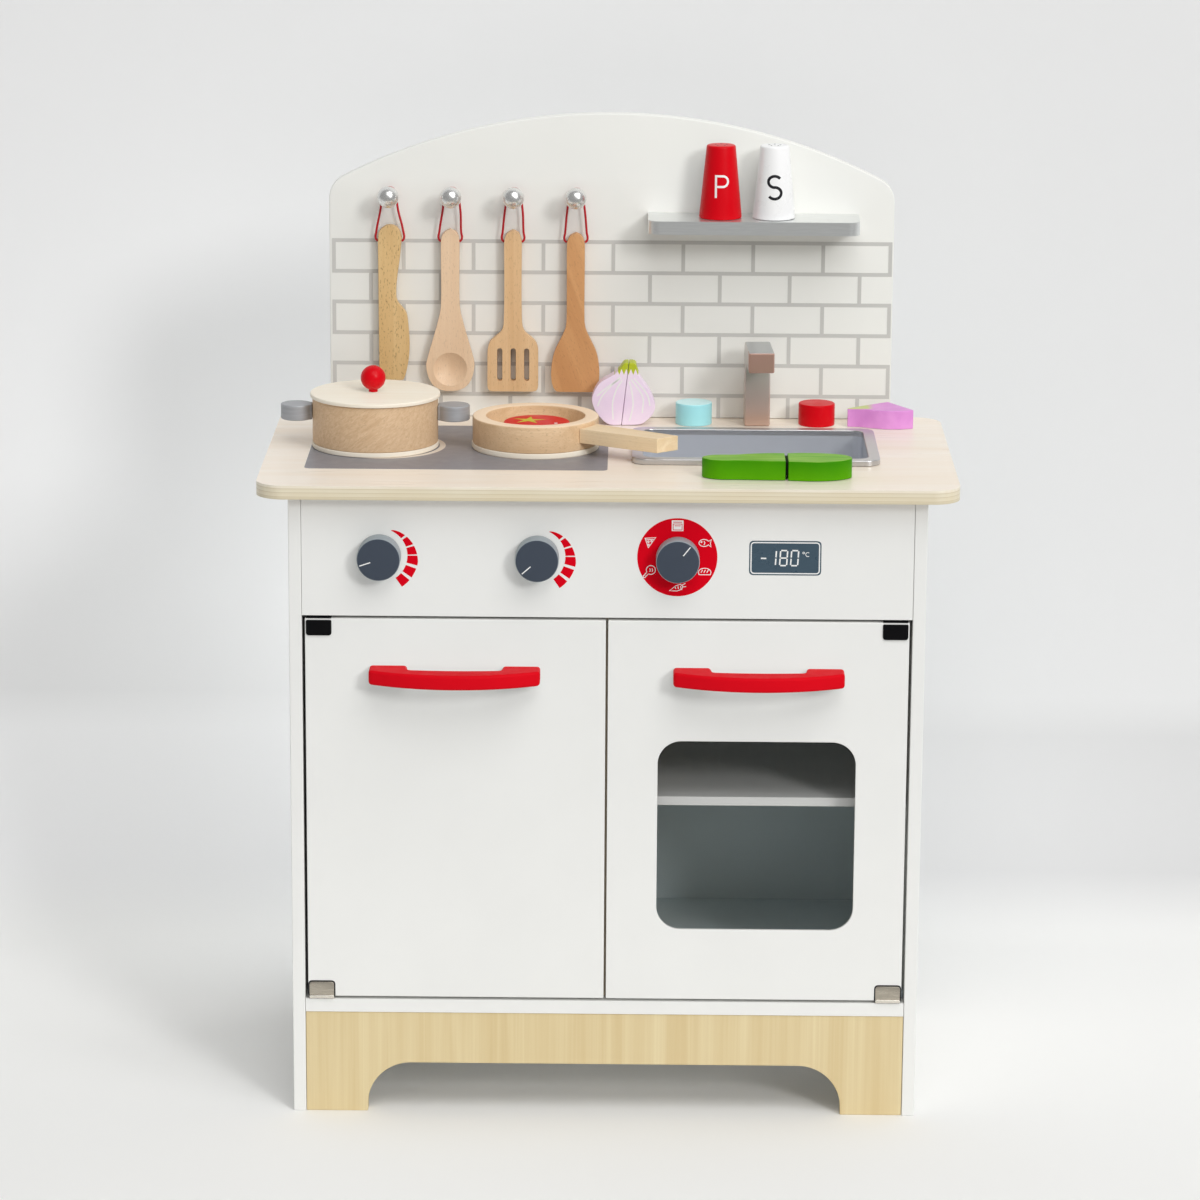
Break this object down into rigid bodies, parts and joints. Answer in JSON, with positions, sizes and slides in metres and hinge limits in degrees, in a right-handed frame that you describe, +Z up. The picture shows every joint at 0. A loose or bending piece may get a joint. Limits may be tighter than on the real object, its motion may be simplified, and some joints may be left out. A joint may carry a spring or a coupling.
{
  "type": "toy kitchen",
  "caption": "Wooden play kitchen with a cupboard, oven, hob, sink, tap, arched splashback, hanging utensils, cookware and play food.",
  "frame": {"origin": "on the floor, under the middle of the overall box", "axes": "+Z up, the doors face -Y, the sink is at +X"},
  "size_m": [0.6, 0.33, 0.845],
  "materials": {
    "white_paint": "satin painted board",
    "worktop_birch": "matt varnished pale plywood",
    "plinth_wood": "matt varnished pale wood",
    "beech": "sanded beech",
    "pale_wood": "sanded pale wood",
    "slate_paint": "satin slate grey paint",
    "red_paint": "semi-gloss red paint",
    "silver_paint": "metallic silver paint",
    "sink_plastic": "metallic silver plastic",
    "steel": "brushed",
    "black_metal": "satin black",
    "clear_pane": "clear gloss",
    "pale_blue_paint": "satin pale blue paint",
    "white_wood": "semi-gloss white paint",
    "lilac_paint": "satin lilac paint with pale stripes",
    "aubergine_paint": "satin violet paint",
    "green_paint": "semi-gloss green paint",
    "red_cord": "smooth round cord"
  },
  "bodies": {
    "cabinet": {"side_panel_left": "white_paint", "side_panel_right": "white_paint", "bottom_panel": "white_paint", "plinth": "plinth_wood", "divider_panel": "worktop_birch", "oven_shelf": "white_paint", "back_panel": "slate_paint", "control_panel": "white_paint", "worktop": "worktop_birch", "sink_basin": "sink_plastic", "splashback": "white_paint", "upper_shelf": "silver_paint", "hook_1": "silver_paint", "hook_2": "silver_paint", "hook_3": "silver_paint", "hook_4": "silver_paint", "catch_block": "pale_wood"},
    "cupboard_door": {"cupboard_door": "white_paint", "cupboard_handle": "red_paint", "cupboard_hinge_top": "black_metal", "cupboard_hinge_bottom": "steel"},
    "oven_door": {"oven_door": "white_paint", "oven_window": "clear_pane", "oven_handle": "red_paint", "oven_hinge_top": "black_metal", "oven_hinge_bottom": "steel"},
    "hob_knob_left": {"hob_knob_left": "slate_paint", "hob_knob_left_spindle": "steel"},
    "hob_knob_right": {"hob_knob_right": "slate_paint", "hob_knob_right_spindle": "steel"},
    "oven_knob": {"oven_knob": "slate_paint", "oven_knob_spindle": "steel"},
    "tap_spout": {"tap_spout": "silver_paint"},
    "cold_tap": {"cold_tap_knob": "pale_blue_paint"},
    "hot_tap": {"hot_tap_knob": "red_paint"},
    "pot": {"pot_body": "beech", "pot_base": "pale_wood", "pot_handle_left": "silver_paint", "pot_handle_right": "silver_paint"},
    "pot_lid": {"pot_lid": "pale_wood", "pot_lid_knob": "red_paint"},
    "pan": {"pan_body": "beech", "pan_base": "pale_wood", "pan_handle": "pale_wood"},
    "tomato": {"tomato": "red_paint"},
    "pepper_shaker": {"pepper_shaker": "red_paint"},
    "salt_shaker": {"salt_shaker": "white_wood"},
    "knife": {"knife": "beech", "knife_loop": "red_cord"},
    "spoon": {"spoon": "beech", "spoon_loop": "red_cord"},
    "turner": {"turner": "beech", "turner_loop": "red_cord"},
    "spatula": {"spatula": "beech", "spatula_loop": "red_cord"},
    "onion_left": {"onion_left": "lilac_paint"},
    "onion_right": {"onion_right": "lilac_paint"},
    "cucumber_long": {"cucumber_long": "green_paint"},
    "cucumber_short": {"cucumber_short": "green_paint"},
    "aubergine": {"aubergine": "aubergine_paint"}
  },
  "joints": [
    {"name": "cupboard_door_hinge", "type": "hinge", "parent": "cabinet", "child": "cupboard_door", "pos_m": [-0.2519, -0.121, 0.2769], "axis": [0, 0, -1], "range_deg": [0, 105]},
    {"name": "oven_door_hinge", "type": "hinge", "parent": "cabinet", "child": "oven_door", "pos_m": [0.2519, -0.121, 0.2769], "axis": [0, 0, 1], "range_deg": [0, 105]},
    {"name": "hob_knob_left_turn", "type": "hinge", "parent": "cabinet", "child": "hob_knob_left", "pos_m": [-0.195, -0.127, 0.5033], "axis": [0, -1, 0], "continuous": true},
    {"name": "hob_knob_right_turn", "type": "hinge", "parent": "cabinet", "child": "hob_knob_right", "pos_m": [-0.06, -0.127, 0.5033], "axis": [0, -1, 0], "continuous": true},
    {"name": "oven_knob_turn", "type": "hinge", "parent": "cabinet", "child": "oven_knob", "pos_m": [0.06, -0.127, 0.5033], "axis": [0, -1, 0], "continuous": true},
    {"name": "tap_spout_swivel", "type": "hinge", "parent": "cabinet", "child": "tap_spout", "pos_m": [0.1324, 0.127, 0.5675], "axis": [0, 0, 1], "range_deg": [-75, 75]},
    {"name": "cold_tap_turn", "type": "hinge", "parent": "cabinet", "child": "cold_tap", "pos_m": [0.0756, 0.1295, 0.5675], "axis": [0, 0, 1], "continuous": true},
    {"name": "hot_tap_turn", "type": "hinge", "parent": "cabinet", "child": "hot_tap", "pos_m": [0.1867, 0.1295, 0.5675], "axis": [0, 0, 1], "continuous": true},
    {"name": "pot_lift", "type": "slide", "parent": "cabinet", "child": "pot", "axis": [0, 0, 1], "range_m": [0, 0.12]},
    {"name": "pot_lid_lift", "type": "slide", "parent": "pot", "child": "pot_lid", "axis": [0, 0, 1], "range_m": [0, 0.1]},
    {"name": "pan_lift", "type": "slide", "parent": "cabinet", "child": "pan", "axis": [0, 0, 1], "range_m": [0, 0.12]},
    {"name": "tomato_lift", "type": "slide", "parent": "pan", "child": "tomato", "axis": [0, 0, 1], "range_m": [0, 0.08]},
    {"name": "pepper_lift", "type": "slide", "parent": "cabinet", "child": "pepper_shaker", "axis": [0, 0, 1], "range_m": [0, 0.08]},
    {"name": "salt_lift", "type": "slide", "parent": "cabinet", "child": "salt_shaker", "axis": [0, 0, 1], "range_m": [0, 0.08]},
    {"name": "knife_swing", "type": "hinge", "parent": "cabinet", "child": "knife", "pos_m": [-0.2, 0.1456, 0.7725], "axis": [0, 1, 0], "range_deg": [-3.5, 20]},
    {"name": "spoon_swing", "type": "hinge", "parent": "cabinet", "child": "spoon", "pos_m": [-0.144, 0.1456, 0.7725], "axis": [0, 1, 0], "range_deg": [-3.5, 3.5]},
    {"name": "turner_swing", "type": "hinge", "parent": "cabinet", "child": "turner", "pos_m": [-0.088, 0.1456, 0.7725], "axis": [0, 1, 0], "range_deg": [-3.5, 3.5]},
    {"name": "spatula_swing", "type": "hinge", "parent": "cabinet", "child": "spatula", "pos_m": [-0.032, 0.1456, 0.7725], "axis": [0, 1, 0], "range_deg": [-20, 3.5]},
    {"name": "onion_lift", "type": "slide", "parent": "cabinet", "child": "onion_left", "axis": [0, 0, 1], "range_m": [0, 0.08]},
    {"name": "onion_part", "type": "slide", "parent": "onion_left", "child": "onion_right", "axis": [1, 0, 0], "range_m": [0, 0.015]},
    {"name": "cucumber_lift", "type": "slide", "parent": "cabinet", "child": "cucumber_long", "axis": [0, 0, 1], "range_m": [0, 0.08]},
    {"name": "cucumber_part", "type": "slide", "parent": "cucumber_long", "child": "cucumber_short", "axis": [1, 0, 0], "range_m": [0, 0.015]},
    {"name": "aubergine_lift", "type": "slide", "parent": "cabinet", "child": "aubergine", "axis": [0, 0, 1], "range_m": [0, 0.08]}
  ]
}
